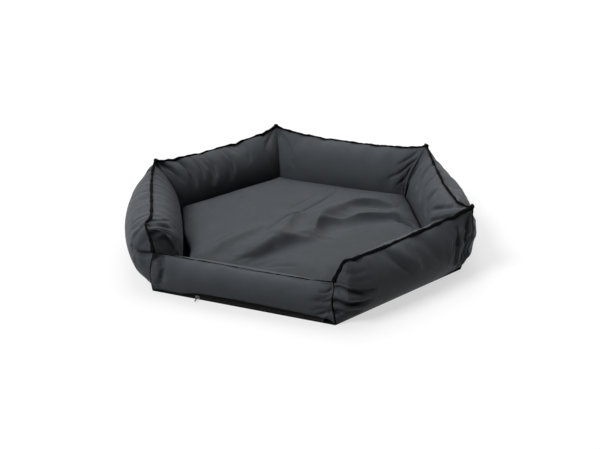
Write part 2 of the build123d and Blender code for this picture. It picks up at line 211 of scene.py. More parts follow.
def section(side, share, outer_shares, inner_shares):
    """A cross-section, run straight down from a shoulder to the low corner beside the entry."""
    end = 0.0 if share < 0.5 else 1.0
    fall = shoulder_shares.get(side, 0)
    if abs(share - end) < fall and is_low(side_ends(side)[round(end)]):
        part = abs(share - end) / fall
        corner = plain_section(side, end, outer_shares, inner_shares)
        shoulder = plain_section(side, abs(end - fall), outer_shares, inner_shares)
        return corner + (shoulder - corner) * part
    return plain_section(side, share, outer_shares, inner_shares)


# Noise: how far each seed moves it, and what brings its range to about -1 to 1
seed_steps = (7.13, 3.71, 1.37)
noise_gain = 1.4
# First seed of each use, the step to a seam's wander, and the inner faces' place in the noise
side_seed = 1
corner_gather_seed = 11
corner_bead_seed = 21
billow_seed = 31
cushion_bead_seed = 41
wander_seed_step = 5
inner_place = 9.0


def field(across, along, away, seed):
    """Smooth noise from about -1 to 1 at each point, the same in every run."""
    points = np.stack([across.ravel(), along.ravel(), away.ravel()], axis=1)
    shift = Vector([seed * step for step in seed_steps])
    values = [noise.noise(Vector(point) + shift) for point in points]
    return noise_gain * np.array(values).reshape(across.shape)


# Height at a fold's ends, as a share of its own
fold_end_share = 0.25


def fold_lift(u, v, path, widths, height):
    """Height at each point of a fold along a path of (u, v) points, which fades out at both its ends.

    widths is its half width, or the one on the left and the one on the right of the path.
    """
    left, right = np.broadcast_to(widths, 2)
    path = np.array(path, float)
    spans = np.linalg.norm(np.diff(path, axis=0), axis=1)
    reached = np.concatenate([[0], np.cumsum(spans)]) / spans.sum()
    nearest = np.full(u.shape, np.inf)
    place = np.zeros(u.shape)
    width = np.full(u.shape, left)
    for start, end, span, low, high in zip(path, path[1:], spans, reached, reached[1:]):
        step = (end - start) / span
        part = np.clip((u - start[0]) * step[0] + (v - start[1]) * step[1], 0, span)
        gap = np.hypot(u - start[0] - part * step[0], v - start[1] - part * step[1])
        closer = gap < nearest
        nearest = np.where(closer, gap, nearest)
        on_left = (v - start[1]) * step[0] > (u - start[0]) * step[1]
        width = np.where(closer, np.where(on_left, left, right), width)
        place = np.where(closer, low + (high - low) * part / span, place)
    fade = np.sqrt(np.clip(4 * place * (1 - place), 0, 1))
    return height * (fold_end_share + (1 - fold_end_share) * fade) * np.exp(-(nearest / width) ** 2)


def add_folds(lift, u, v, length, folds, chosen):
    """Add folds to the lift at the chosen points. Their paths give u in shares of the length."""
    for widths, height, *path in folds:
        scaled = [(share * length, level) for share, level in path]
        lift += np.where(chosen, fold_lift(u, v, scaled, widths, height), 0)


# Gathers that run away from the rim: spacing, and their height on the outer and inner face
rim_gathers = {
    "right_front": (0.03, 0.005, 0.004),
    "right_back": (0.027, 0.005, 0.007),
    "back": (0.045, 0.003, 0.005),
    "left_back": (0.047, 0.003, 0.011),
    "left_front": (0.016, 0.0036, 0.0042),
    "front": (0.06, 0.0036, 0.001),
}
gather_reach = 0.055
gather_stretch = 5.0

# Gathers that run away from a corner seam, by corner: spacing up the seam, height and reach
corner_gathers = {
    "front_right": (0.022, 0.006, 0.075),
    "right": (0.016, 0.007, 0.06),
    "back_right": (0.026, 0.006, 0.06),
    "back_left": (0.034, 0.003, 0.05),
    "left": (0.022, 0.005, 0.055),
    "front_left": (0.024, 0.003, 0.06),
}
inner_gather_share = 0.5
# Distances from a rim and a corner over which gathers and folds rise
rim_root = 0.008
end_root = 0.006

# Single folds, by side and face: half width, height, and a path of (share along the side, level)
outer_folds = {
    "right_front": (
        (0.005, -0.018, (0.0, 0.098), (0.06, 0.096), (0.17, 0.076)),
        (0.006, -0.02, (0.0, 0.066), (0.07, 0.055), (0.19, 0.044)),
        (0.009, 0.009, (0.0, 0.082), (0.08, 0.076), (0.17, 0.06)),
        (0.005, -0.012, (0.0, 0.04), (0.08, 0.03), (0.15, 0.022)),
        (0.012, -0.009, (0.34, 0.152), (0.4, 0.13), (0.49, 0.09)),
        (0.013, 0.008, (0.41, 0.155), (0.47, 0.125), (0.56, 0.09)),
        (0.014, -0.006, (0.6, 0.16), (0.66, 0.125), (0.72, 0.085)),
        (0.007, -0.01, (0.99, 0.176), (0.945, 0.122), (0.93, 0.025)),
        (0.007, -0.008, (0.9, 0.15), (0.86, 0.1), (0.87, 0.04)),
        (0.007, 0.006, (0.82, 0.13), (0.8, 0.1), (0.81, 0.055)),
        (0.006, -0.006, (0.99, 0.12), (0.96, 0.08), (0.97, 0.02)),
    ),
    "right_back": (
        (0.007, -0.01, (0.7, 0.17), (0.58, 0.158), (0.36, 0.152), (0.2, 0.14)),
        (0.009, 0.006, (0.64, 0.15), (0.48, 0.134), (0.26, 0.124)),
        (0.007, -0.006, (0.1, 0.176), (0.22, 0.158), (0.3, 0.12)),
        (0.008, 0.006, (0.02, 0.15), (0.12, 0.118), (0.26, 0.105)),
    ),
    "left_front": (
        (0.007, -0.008, (0.8, 0.172), (0.84, 0.14), (0.88, 0.085)),
        (0.006, -0.007, (0.93, 0.17), (0.84, 0.158), (0.74, 0.13)),
        (0.009, 0.006, (0.92, 0.16), (0.9, 0.12), (0.95, 0.07)),
        (0.006, -0.009, (1.0, 0.104), (0.95, 0.098), (0.84, 0.1)),
        (0.005, -0.004, (1.0, 0.03), (0.95, 0.045), (0.9, 0.05)),
    ),
    "front": (
        (0.009, -0.009, (0.0, 0.1), (0.05, 0.092), (0.08, 0.055), (0.05, 0.02)),
        (0.01, 0.004, (0.05, 0.1), (0.1, 0.085), (0.14, 0.06)),
        (0.005, -0.004, (0.02, 0.03), (0.06, 0.03), (0.1, 0.02)),
        (0.016, 0.003, (0.12, 0.088), (0.3, 0.07), (0.45, 0.078)),
        (0.018, -0.004, (0.5, 0.07), (0.68, 0.058), (0.82, 0.066)),
        (0.007, -0.006, (1.0, 0.085), (0.95, 0.07), (0.88, 0.064)),
        (0.007, -0.006, (1.0, 0.04), (0.94, 0.044), (0.88, 0.038)),
        (0.004, 0.005, (0.93, 0.012), (0.965, 0.03), (0.995, 0.016)),
    ),
}
inner_folds = {
    "right_back": (
        (0.01, -0.006, (0.98, 0.17), (0.9, 0.13), (0.8, 0.085)),
        (0.022, -0.02, (1.0, 0.15), (0.985, 0.11), (0.98, 0.06)),
        (0.008, -0.006, (0.8, 0.172), (0.74, 0.14), (0.66, 0.11)),
        (0.009, -0.007, (0.62, 0.16), (0.6, 0.13), (0.52, 0.1)),
        (0.008, -0.007, (0.44, 0.155), (0.42, 0.125), (0.34, 0.095)),
        (0.009, -0.008, (0.06, 0.18), (0.17, 0.15), (0.3, 0.12)),
        (0.009, -0.007, (0.02, 0.16), (0.12, 0.125), (0.24, 0.095)),
    ),
    "back": (
        (0.026, -0.005, (0.12, 0.15), (0.3, 0.124), (0.56, 0.11), (0.86, 0.116)),
        (0.009, -0.003, (0.02, 0.176), (0.1, 0.14), (0.18, 0.112)),
        (0.01, -0.003, (0.02, 0.155), (0.1, 0.112), (0.2, 0.085)),
        (0.024, -0.022, (0.0, 0.15), (0.015, 0.11), (0.02, 0.06)),
        (0.01, -0.005, (0.98, 0.17), (0.9, 0.135), (0.83, 0.09)),
        (0.009, -0.004, (0.94, 0.182), (0.84, 0.16), (0.72, 0.15)),
    ),
    "left_back": (
        (0.01, -0.005, (0.02, 0.178), (0.1, 0.15), (0.2, 0.13)),
        (0.008, -0.007, (0.97, 0.176), (0.9, 0.15), (0.86, 0.115)),
        (0.008, -0.01, (0.8, 0.168), (0.78, 0.14), (0.79, 0.1)),
        (0.008, -0.011, (0.66, 0.16), (0.63, 0.135), (0.65, 0.095)),
        (0.008, -0.009, (0.52, 0.158), (0.5, 0.13), (0.51, 0.09)),
    ),
    "left_front": (
        (0.007, -0.007, (0.88, 0.176), (0.83, 0.16), (0.78, 0.13)),
        (0.008, -0.007, (0.88, 0.17), (0.86, 0.155), (0.83, 0.125)),
        (0.006, -0.005, (0.87, 0.18), (0.78, 0.17), (0.7, 0.15)),
        (0.028, -0.03, (0.985, 0.12), (0.955, 0.1), (0.945, 0.05)),
        (0.02, -0.022, (0.95, 0.13), (0.9, 0.12), (0.88, 0.08)),
    ),
}

# Distances from a rim and a corner over which creases rise
crease_rim_root = 0.006
crease_end_root = 0.004
# Narrow creases pressed in after the cloth has settled, in the form of the folds above
outer_creases = {
    "right_front": (
        (0.0042, -0.01, (0.0, 0.098), (0.03, 0.099), (0.07, 0.096), (0.14, 0.086), (0.22, 0.084)),
        (0.0048, -0.012, (0.0, 0.066), (0.04, 0.06), (0.09, 0.053), (0.2, 0.052)),
        (0.0035, -0.004, (0.0, 0.112), (0.04, 0.112), (0.09, 0.11)),
        (0.0035, -0.005, (0.02, 0.09), (0.045, 0.082), (0.05, 0.072)),
        (0.004, -0.007, (0.0, 0.036), (0.03, 0.032), (0.06, 0.018)),
        (0.005, -0.002, (0.02, 0.15), (0.1, 0.138), (0.18, 0.134)),
        (0.005, -0.002, (0.02, 0.126), (0.1, 0.12), (0.2, 0.112)),
        (0.007, -0.004, (0.37, 0.152), (0.41, 0.128), (0.48, 0.096)),
        (0.005, -0.008, (0.985, 0.172), (0.955, 0.125), (0.94, 0.03)),
        (0.005, -0.006, (0.9, 0.145), (0.87, 0.1), (0.875, 0.045)),
        (0.004, -0.005, (0.975, 0.13), (0.97, 0.09), (0.975, 0.03)),
        (0.005, -0.004, (0.84, 0.12), (0.82, 0.085), (0.83, 0.05)),
    ),
    "right_back": (
        (0.005, -0.008, (0.68, 0.172), (0.52, 0.16), (0.3, 0.152), (0.16, 0.15)),
        (0.005, -0.005, (0.44, 0.14), (0.32, 0.134), (0.2, 0.128)),
        (0.005, -0.005, (0.04, 0.17), (0.1, 0.152), (0.17, 0.146)),
    ),
    "left_front": (
        (0.0045, -0.01, (1.0, 0.105), (0.96, 0.101), (0.9, 0.098), (0.84, 0.104)),
        (0.0045, -0.006, (0.78, 0.172), (0.82, 0.15), (0.84, 0.12)),
        (0.0045, -0.006, (0.86, 0.166), (0.87, 0.145), (0.9, 0.12)),
        (0.0045, -0.004, (0.72, 0.168), (0.7, 0.15), (0.69, 0.125)),
    ),
    "front": (
        (0.006, -0.006, (0.0, 0.1), (0.04, 0.096), (0.075, 0.075), (0.07, 0.04)),
        (0.004, -0.005, (1.0, 0.092), (0.96, 0.084), (0.92, 0.085)),
        (0.004, -0.005, (1.0, 0.064), (0.95, 0.06), (0.9, 0.063)),
        (0.004, -0.006, (0.9, 0.022), (0.95, 0.032), (1.0, 0.036)),
    ),
    "back": (
        (0.005, -0.004, (0.03, 0.17), (0.1, 0.15), (0.18, 0.14)),
        (0.005, -0.005, (0.97, 0.17), (0.9, 0.15), (0.8, 0.138)),
        (0.005, -0.004, (0.98, 0.13), (0.92, 0.11), (0.84, 0.104)),
    ),
    "left_back": (
        (0.005, -0.004, (0.03, 0.165), (0.1, 0.14), (0.17, 0.13)),
        (0.005, -0.005, (0.97, 0.165), (0.89, 0.145), (0.8, 0.14)),
        (0.005, -0.004, (0.98, 0.11), (0.92, 0.1), (0.85, 0.096)),
    ),
}
inner_creases = {
    "right_back": (
        (0.005, -0.004, (0.8, 0.172), (0.745, 0.142), (0.68, 0.112)),
        (0.005, -0.005, (0.63, 0.164), (0.6, 0.134), (0.53, 0.104)),
        (0.005, -0.005, (0.45, 0.158), (0.42, 0.126), (0.35, 0.098)),
        (0.005, -0.005, (0.07, 0.178), (0.17, 0.15), (0.28, 0.124)),
        (0.005, -0.005, (0.03, 0.158), (0.12, 0.126), (0.22, 0.1)),
    ),
    "back": (
        (0.0055, -0.004, (0.97, 0.176), (0.91, 0.15), (0.85, 0.122)),
        (0.005, -0.003, (0.03, 0.176), (0.08, 0.15), (0.13, 0.136)),
        (0.005, -0.004, (0.02, 0.15), (0.09, 0.116), (0.17, 0.098)),
        (0.005, -0.003, (0.02, 0.118), (0.06, 0.092), (0.1, 0.08)),
    ),
    "left_back": (
        (0.0055, -0.006, (0.96, 0.178), (0.91, 0.16), (0.875, 0.13)),
        (0.0055, -0.007, (0.82, 0.172), (0.79, 0.15), (0.8, 0.118)),
        (0.005, -0.006, (0.72, 0.166), (0.7, 0.146), (0.71, 0.12)),
        (0.0055, -0.007, (0.62, 0.162), (0.6, 0.142), (0.61, 0.112)),
        (0.0055, -0.005, (0.47, 0.162), (0.46, 0.14), (0.47, 0.112)),
        (0.005, -0.003, (0.3, 0.168), (0.3, 0.146), (0.32, 0.124)),
        (0.005, -0.004, (0.03, 0.18), (0.09, 0.158), (0.15, 0.145)),
    ),
    "left_front": (
        (0.004, -0.005, (0.88, 0.176), (0.8, 0.162), (0.72, 0.14)),
        (0.004, -0.005, (0.88, 0.17), (0.84, 0.155), (0.79, 0.13)),
        (0.004, -0.004, (0.87, 0.18), (0.77, 0.176), (0.68, 0.16)),
        (0.0045, -0.005, (0.89, 0.165), (0.87, 0.148), (0.85, 0.12)),
        (0.006, -0.008, (0.97, 0.13), (0.93, 0.14), (0.89, 0.145)),
    ),
}


class Bolster:
    """Grid of cloth round one bolster: columns run along the side, rows from foot to rim to foot."""

    def __init__(self, side):
        self.side = side
        self.length = side_line(side)[2]
        self.columns = round(self.length / cell) + 1
        self.rim_row = entry_rows if side == "front" else high_rows
        even = np.linspace(0, 1, self.columns)
        self.shares = even - crowding * np.sin(math.tau * even) / math.tau
        self.shares[0], self.shares[-1] = 0.0, 1.0
        rows = np.linspace(0, 1, self.rim_row + 1)
        self.grid = np.array([section(side, float(share), rows, rows) for share in self.shares])
        self.rows = self.grid.shape[1]
        self.dip_rim()
        self.pull_corners()
        self.add_bottom()
        self.measure()

    def bumps(self, rows, width):
        """Height at each column of smooth bumps, given by the place and height of each."""
        total = np.zeros(self.columns)
        for place, height in rows:
            total += height * np.exp(-((self.shares - place) * self.length / width) ** 2)
        return total

    def dip_rim(self):
        """Lower the rim at its dips and move it out at its jogs, and the cloth beside it less and less."""
        fade = np.exp(-((np.arange(self.rows) - self.rim_row) / dip_rows) ** 2)
        drop = self.bumps(rim_dips[self.side], dip_width)
        self.grid[:, :, 2] -= drop[:, None] * fade[None, :]
        step = self.bumps(rim_jogs.get(self.side, ()), jog_width)
        step[[0, -1]] = 0
        outward = side_line(self.side)[3]
        self.grid[:, :, :2] += (step[:, None] * fade[None, :])[:, :, None] * outward

    def pull_corners(self):
        """Draw the cloth round a corner aside, alike in both bolsters that meet there."""
        for name, (aside, level, spread) in corner_pulls.items():
            away = np.linalg.norm(self.grid[:, :, :2] - corners[name], axis=2)
            share = np.exp(-(away / pull_reach) ** 2 - ((self.grid[:, :, 2] - level) / spread) ** 2)
            self.grid[:, :, :2] += share[:, :, None] * np.array(aside)

    def add_bottom(self):
        """Rows across the floor, from the inner foot back to the outer one."""
        shares = np.linspace(0, 1, bottom_rows + 1)[1:-1]
        inner, outer = self.grid[:, -1:], self.grid[:, :1]
        self.grid = np.concatenate([self.grid, inner + (outer - inner) * shares[None, :, None]], axis=1)
        self.loop = self.grid.shape[1]

    def measure(self):
        """Distances along the side and away from the rim, at each point of the grid."""
        steps = np.linalg.norm(np.diff(self.grid, axis=1), axis=2)
        down = np.concatenate([np.zeros((self.columns, 1)), np.cumsum(steps, axis=1)], axis=1)
        self.down = down - down[:, self.rim_row][:, None]
        self.along = np.repeat((self.shares * self.length)[:, None], self.loop, axis=1)
        self.from_rim = np.abs(self.down)
        self.from_end = np.minimum(self.along, self.length - self.along)
        self.outer = np.repeat((np.arange(self.loop) <= self.rim_row)[None, :], self.columns, axis=0)

    def lift(self):
        """How far the cloth stands off its plain arcs: gathers by the rim and corners, and folds."""
        index = side_names.index(self.side)
        spacing, outer_height, inner_height = rim_gathers[self.side]
        height = np.where(self.outer, outer_height, inner_height)
        faces = np.where(self.outer, 0.0, inner_place)
        stretched = self.from_rim / (spacing * gather_stretch)
        gathers = field(self.along / spacing, stretched, faces, side_seed + index)
        lift = gathers * height * np.exp(-self.from_rim / gather_reach)
        z = self.grid[:, :, 2]
        for end, name in enumerate(side_ends(self.side)):
            spacing, height, reach = corner_gathers[name]
            away = np.abs(self.along - end * self.length)
            stretched = away / (spacing * gather_stretch)
            gathers = field(z / spacing, stretched, faces, corner_gather_seed + index + end)
            height = np.where(self.outer, height, height * inner_gather_share)
            lift += gathers * height * np.exp(-away / reach)
        add_folds(lift, self.along, z, self.length, outer_folds.get(self.side, ()), self.outer)
        add_folds(lift, self.along, z, self.length, inner_folds.get(self.side, ()), ~self.outer)
        rise = np.minimum(1, self.from_rim / rim_root) * np.minimum(1, self.from_end / end_root)
        return lift * rise

    def faces(self):
        """Quads round the bolster's loop, with both ends bridged shut."""
        loop = self.loop
        faces = []
        for i in range(self.columns - 1):
            for j in range(loop):
                k = (j + 1) % loop
                faces.append((i * loop + j, (i + 1) * loop + j, (i + 1) * loop + k, i * loop + k))
        for i in (0, self.columns - 1):
            for j in range(self.rim_row):
                m = self.rows - 1 - j
                face = tuple(dict.fromkeys(i * loop + row for row in (j, m, m - 1, j + 1)))
                faces.append(face[::-1] if i == 0 else face)
            bottom = [i * loop + j for j in range(self.rows - 1, loop)] + [i * loop]
            faces.append(tuple(bottom[::-1] if i == 0 else bottom))
        return faces


def new_mesh(name, points, faces):
    mesh = bpy.data.meshes.new(name)
    mesh.from_pydata([tuple(point) for point in points], [], faces)
    mesh.validate()
    mesh.polygons.foreach_set("use_smooth", [True] * len(mesh.polygons))
    return mesh


def new_object(name, data):
    made = bpy.data.objects.new(name, data)
    bpy.context.scene.collection.objects.link(made)
    return made


def ring_faces(rings, count, closed=False):
    """Quads between rings of count points each, with a cap at both ends unless the rings are closed."""
    faces = []
    for i in range(rings if closed else rings - 1):
        near, far = i * count, (i + 1) % rings * count
        for a in range(count):
            b = (a + 1) % count
            faces.append((near + a, near + b, far + b, far + a))
    if not closed:
        faces.append(tuple(range(count))[::-1])
        faces.append(tuple((rings - 1) * count + a for a in range(count)))
    return faces


def vertex_values(mesh, name):
    values = np.empty(len(mesh.vertices) * 3)
    mesh.vertices.foreach_get(name, values)
    return values.reshape(-1, 3)


def mesh_points(mesh):
    return vertex_values(mesh, "co")


def mesh_normals(mesh):
    return vertex_values(mesh, "normal")


def set_points(mesh, points):
    mesh.vertices.foreach_set("co", np.asarray(points, float).ravel())
    mesh.update()


def keep_evaluated(made):
    """Keep what an object's modifiers make as its own mesh."""
    result = bpy.data.meshes.new_from_object(made.evaluated_get(bpy.context.evaluated_depsgraph_get()))
    old = made.data
    made.modifiers.clear()
    made.vertex_groups.clear()
    made.data = result
    bpy.data.meshes.remove(old)


def loop_vertices(mesh):
    found = np.empty(len(mesh.loops), dtype=np.int32)
    mesh.loops.foreach_get("vertex_index", found)
    return found


def add_uv(mesh, u, v):
    """UV map in metres from one (u, v) for each vertex."""
    layer = mesh.uv_layers.new(name="cloth")
    corner = loop_vertices(mesh)
    pairs = np.stack([u.ravel()[corner], v.ravel()[corner]], axis=1)
    layer.data.foreach_set("uv", pairs.ravel())


# Cloth: how much larger than its seams each panel is cut, which makes it pucker
slack = 0.07
rim_slack_reach = 0.06
corner_slack_reach = 0.07
even_slack = 0.3
slack_levels = 10
bolster_pressure = 10.0
cloth_frames = 20
cloth_settings = {
    "quality": 6,
    "mass": 0.1,
    "tension_stiffness": 15,
    "compression_stiffness": 10,
    "shear_stiffness": 5,
    "bending_stiffness": 0.002,
    "use_pressure": True,
    "vertex_group_mass": "held",
    "vertex_group_shrink": "slack",
    "shrink_min": 0.0,
    "shrink_max": -slack,
}
# How far the cloth may stand off its start: out on the outer and the inner face, and in on both
outer_most = 0.008
inner_most = 0.0015
dent_most = 0.014


def start_cloth(made, held, slack_shares, pressure):
    """Make an object inflated cloth, held at some vertices and cut slack by shares of the slack."""
    pinned = made.vertex_groups.new(name="held")
    pinned.add([int(i) for i in np.flatnonzero(held)], 1.0, "REPLACE")
    loose = made.vertex_groups.new(name="slack")
    for level in range(1, slack_levels + 1):
        chosen = np.flatnonzero(np.round(slack_shares * slack_levels) == level)
        loose.add([int(i) for i in chosen], level / slack_levels, "REPLACE")
    cloth = made.modifiers.new("cloth", "CLOTH")
    for key, value in cloth_settings.items():
        setattr(cloth.settings, key, value)
    cloth.settings.uniform_pressure_force = pressure
    cloth.settings.effector_weights.gravity = 0
    cloth.collision_settings.use_collision = False
    cloth.point_cache.frame_start = 1
    cloth.point_cache.frame_end = cloth_frames


def run_cloth(objects):
    """Step every cloth at once, then keep each result as the object's mesh."""
    for step in range(1, cloth_frames + 1):
        bpy.context.scene.frame_set(step)
    for made in objects:
        keep_evaluated(made)
    bpy.context.scene.frame_set(1)


def soft_limit(values, most):
    return most * np.tanh(values / most)


def limit_travel(made, start, normals, outward_most, inward_most):
    """Draw each point back so that it stands off its start by no more than the cloth may."""
    points = mesh_points(made.data)
    move = points - start
    off = np.einsum("ij,ij->i", move, normals)
    kept = np.where(off > 0, soft_limit(off, outward_most), soft_limit(off, inward_most))
    slide = move - off[:, None] * normals
    set_points(made.data, start + slide + kept[:, None] * normals)


def subdivide(made):
    modifier = made.modifiers.new("smooth", "SUBSURF")
    modifier.levels = modifier.render_levels = 1
    keep_evaluated(made)


def press(mesh, lift):
    """Move each point of a mesh along its normal."""
    mesh.update()
    set_points(mesh, mesh_points(mesh) + mesh_normals(mesh) * lift[:, None])


def vertex_uv(mesh):
    """The (u, v) of each vertex in the UV map that add_uv made."""
    pairs = np.empty(len(mesh.loops) * 2)
    mesh.uv_layers["cloth"].data.foreach_get("uv", pairs)
    found = np.zeros((len(mesh.vertices), 2))
    found[loop_vertices(mesh)] = pairs.reshape(-1, 2)
    return found


def press_creases(mesh, side):
    """Press a bolster's creases into its finer mesh, none of them past its seams."""
    length = side_line(side)[2]
    along, down = vertex_uv(mesh).T
    z = mesh_points(mesh)[:, 2]
    lift = np.zeros(len(z))
    add_folds(lift, along, z, length, outer_creases.get(side, ()), down < 0)
    add_folds(lift, along, z, length, inner_creases.get(side, ()), down > 0)
    from_end = np.minimum(along, length - along)
    rise = np.clip(np.abs(down) / crease_rim_root, 0, 1) * np.clip(from_end / crease_end_root, 0, 1)
    press(mesh, lift * rise)


def make_bolster(side):
    bolster = Bolster(side)
    start = bolster.grid.reshape(-1, 3)
    mesh = new_mesh(f"{side}_bolster", start, bolster.faces())
    add_uv(mesh, bolster.along, bolster.down)
    made = new_object(f"{side}_bolster", mesh)
    normals = mesh_normals(mesh)
    set_points(mesh, start + normals * bolster.lift().reshape(-1, 1))
    held = np.zeros((bolster.columns, bolster.loop), bool)
    held[[0, -1]] = True
    held[:, bolster.rows - 1:] = True
    held[:, [0, bolster.rim_row]] = True
    shares = even_slack + (1 - even_slack) * np.maximum(
        np.exp(-(bolster.from_rim / rim_slack_reach) ** 2),
        np.exp(-(bolster.from_end / corner_slack_reach) ** 2),
    )
    start_cloth(made, held.ravel(), shares.ravel(), bolster_pressure)
    return bolster, made, start, normals


bolsters = {side: make_bolster(side) for side in side_names}
run_cloth([made for bolster, made, *rest in bolsters.values()])
for side, (bolster, made, start, normals) in bolsters.items():
    most = np.where(bolster.outer.ravel(), outer_most, inner_most)
    limit_travel(made, start, normals, most, dent_most)
    subdivide(made)
    press_creases(made.data, side)
    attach(made, "bed")
    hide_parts(f"{side}_outer_panel", f"{side}_inner_panel", f"{side}_stuffing")


# Seams: half widths of their beads, and how uneven they are
rim_beads = {
    "right_front": (0.0042, 0.0042), "right_back": (0.0036, 0.004), "back": (0.0034, 0.0038),
    "left_back": (0.0036, 0.004), "left_front": (0.0036, 0.004), "front": (0.0014, 0.0014),
}
corner_beads = {name: (0.0012, 0.0013) for name in corner_names} | {
    "front_right": (0.0012, 0.0012), "front_left": (0.0006, 0.0007),
}
cushion_bead = (0.0013, 0.0013)
bead_step = 0.0025
bead_sides = 8
# Spacing and share of each unevenness, the beads' wander, and the knots at their ends
bead_uneven = ((0.03, 0.38), (0.009, 0.2))
bead_wander = 0.0008
wander_spacing = 0.02
knot_share = 0.8
knot_reach = 0.01
tip_share = 0.3
least_length = 1e-12


def resample(path, step):
    """Points on a line, a step apart or a little less."""
    reached = np.concatenate([[0], np.cumsum(np.linalg.norm(np.diff(path, axis=0), axis=1))])
    places = np.linspace(0, reached[-1], max(2, math.ceil(reached[-1] / step) + 1))
    return np.stack([np.interp(places, reached, path[:, axis]) for axis in range(3)], axis=1), places


def unit(vectors):
    return vectors / np.maximum(np.linalg.norm(vectors, axis=-1, keepdims=True), least_length)


def tube(name, path, upright, half_widths, closed=False, sides=bead_sides):
    """Oval tube along a path: half_widths gives its radius across and along upright at each point."""
    count = len(path)
    ahead = np.roll(path, -1, axis=0) - np.roll(path, 1, axis=0) if closed else np.gradient(path, axis=0)
    ahead = unit(ahead)
    across = unit(np.cross(ahead, upright))
    up = np.cross(across, ahead)
    angles = np.arange(sides) * math.tau / sides
    rings = path[:, None] + (
        across[:, None] * half_widths[:, :1, None] * np.cos(angles)[None, :, None]
        + up[:, None] * half_widths[:, 1:, None] * np.sin(angles)[None, :, None]
    )
    mesh = new_mesh(name, rings.reshape(-1, 3), ring_faces(count, sides, closed))
    run = np.linalg.norm(np.diff(path, axis=0), axis=1)
    reached = np.concatenate([[0], np.cumsum(run)])
    around = np.mean(half_widths) * angles
    add_uv(mesh, np.repeat(reached, sides), np.tile(around, count))
    return new_object(name, mesh)


def bead(name, path, upright, half_widths, seed, body, closed=False):
    """Sewn seam along a path, a little thicker and thinner by turns."""
    path, places = resample(path, bead_step)
    if closed:
        path, places = path[:-1], places[:-1]
    size = np.ones(len(path))
    for spacing, share in bead_uneven:
        size += share * field(places / spacing, np.zeros_like(places), np.zeros_like(places), seed)
    if not closed:
        to_end = np.minimum(places, places[-1] - places)
        tip = np.sqrt(np.clip(tip_share + to_end / bead_step, tip_share, 1))
        size *= (1 + knot_share * np.exp(-to_end / knot_reach)) * tip
    widths = size[:, None] * np.array(half_widths)[None, :]
    ones = np.ones_like(places)
    wander = field(places / wander_spacing, np.zeros_like(places), ones, seed + wander_seed_step)
    path = path + np.asarray(upright) * (bead_wander * wander)[:, None]
    made = tube(name, path, upright, widths, closed)
    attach(made, body)
    return made


up_axis = (0.0, 0.0, 1.0)
seams = []
for index, (side, (bolster, *rest)) in enumerate(bolsters.items()):
    top = bolster.grid[:, bolster.rim_row]
    rim = bead(f"{side}_rim_seam", top, up_axis, rim_beads[side], side_seed + index, "bed")
    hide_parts(f"{side}_top_seam")
    corner = side_ends(side)[0]
    outward = (*corner_mitre(corner), 0.0)
    line = bolster.grid[0, : bolster.rim_row + 1]
    down = bead(f"{corner}_seam", line, outward, corner_beads[corner], corner_bead_seed + index, "bed")
    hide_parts(f"{corner}_corner_seam")
    seams += [rim, down]


# Cushion: its heights, the share by which its foot is tucked in, and the powers that shape its crown
cushion_seam_height = 0.05
cushion_floor = 0.0018
cushion_crown = 0.032
cushion_tuck = 0.02
crown_power = (4.0, 0.5)
# Its insets from the CAD's band and from the ring, and the half angle in which the ring is measured
cushion_inset = 0.0015
well_gap = 0.0025
well_window = math.radians(1.6)
# Where the cushion's edge is drawn in from the ring: direction, half angle and distance
edge_pull = (math.radians(-131), math.radians(13), 0.015)
# Broad unevenness of the top
billow_height = 0.0025
billow_spacing = 0.14
# As shares of the way out: where the plain crown ends, its blend there, and the edge that folds fade over
crown_end = 0.95
crown_blend = 0.04
fold_fade = 0.1
# Mesh: sizes of its cells and rings, and the innermost ring and the one on the floor, as shares
outline_step = 0.004
cushion_voxel = 0.006
side_rings = 7
top_rings = 40
centre_share = 0.03
floor_share = 0.5
level_tolerance = 1e-4
# Cloth: height over the seam from which it is free, its slack, pressure and travel
held_rise = 0.004
cushion_slack_share = 0.35
cushion_pressure = 6.0
cushion_most = 0.0025

# Folds across the cushion's top: half width, or left and right ones, height, and a path in plan
cushion_folds = (
    (
        (0.042, 0.016), 0.017,
        (-0.056, -0.318), (-0.023, -0.247), (-0.006, -0.202), (0.021, -0.172), (0.08, -0.15),
    ),
    (
        (0.014, 0.045), -0.01,
        (-0.04, -0.31), (-0.008, -0.278), (0.022, -0.232), (0.048, -0.186), (0.07, -0.14),
    ),
    ((0.045, 0.024), 0.016, (-0.004, -0.19), (-0.006, -0.122), (-0.014, -0.055), (0.002, 0.0)),
    ((0.03, 0.024), 0.019, (0.082, -0.14), (0.064, -0.06), (0.055, 0.004), (0.071, 0.044), (0.094, 0.08)),
    ((0.024, 0.045), -0.014, (0.092, -0.11), (0.104, -0.05), (0.118, -0.012), (0.124, 0.03)),
    ((0.03, 0.013), 0.012, (0.12, 0.0), (0.145, 0.018), (0.179, 0.05), (0.256, 0.106)),
    ((0.013, 0.036), -0.008, (0.108, -0.024), (0.147, 0.004), (0.184, 0.032), (0.26, 0.09)),
    ((0.04, 0.015), 0.014, (0.084, 0.07), (0.11, 0.135), (0.145, 0.163), (0.18, 0.171), (0.23, 0.168)),
    ((0.012, 0.022), -0.007, (0.118, 0.116), (0.165, 0.146), (0.222, 0.152)),
    (0.018, 0.006, (0.14, 0.086), (0.177, 0.097), (0.21, 0.101)),
    ((0.026, 0.014), 0.007, (-0.15, -0.315), (-0.125, -0.25), (-0.088, -0.17), (-0.064, -0.12)),
    (0.016, -0.012, (-0.33, -0.11), (-0.278, -0.205), (-0.236, -0.285)),
    (0.04, 0.003, (-0.23, -0.25), (-0.15, -0.14), (-0.1, 0.0)),
    (0.045, -0.003, (0.1, -0.25), (0.19, -0.17), (0.25, -0.06)),
    (0.014, 0.007, (0.225, 0.1), (0.262, 0.1), (0.296, 0.106)),
)
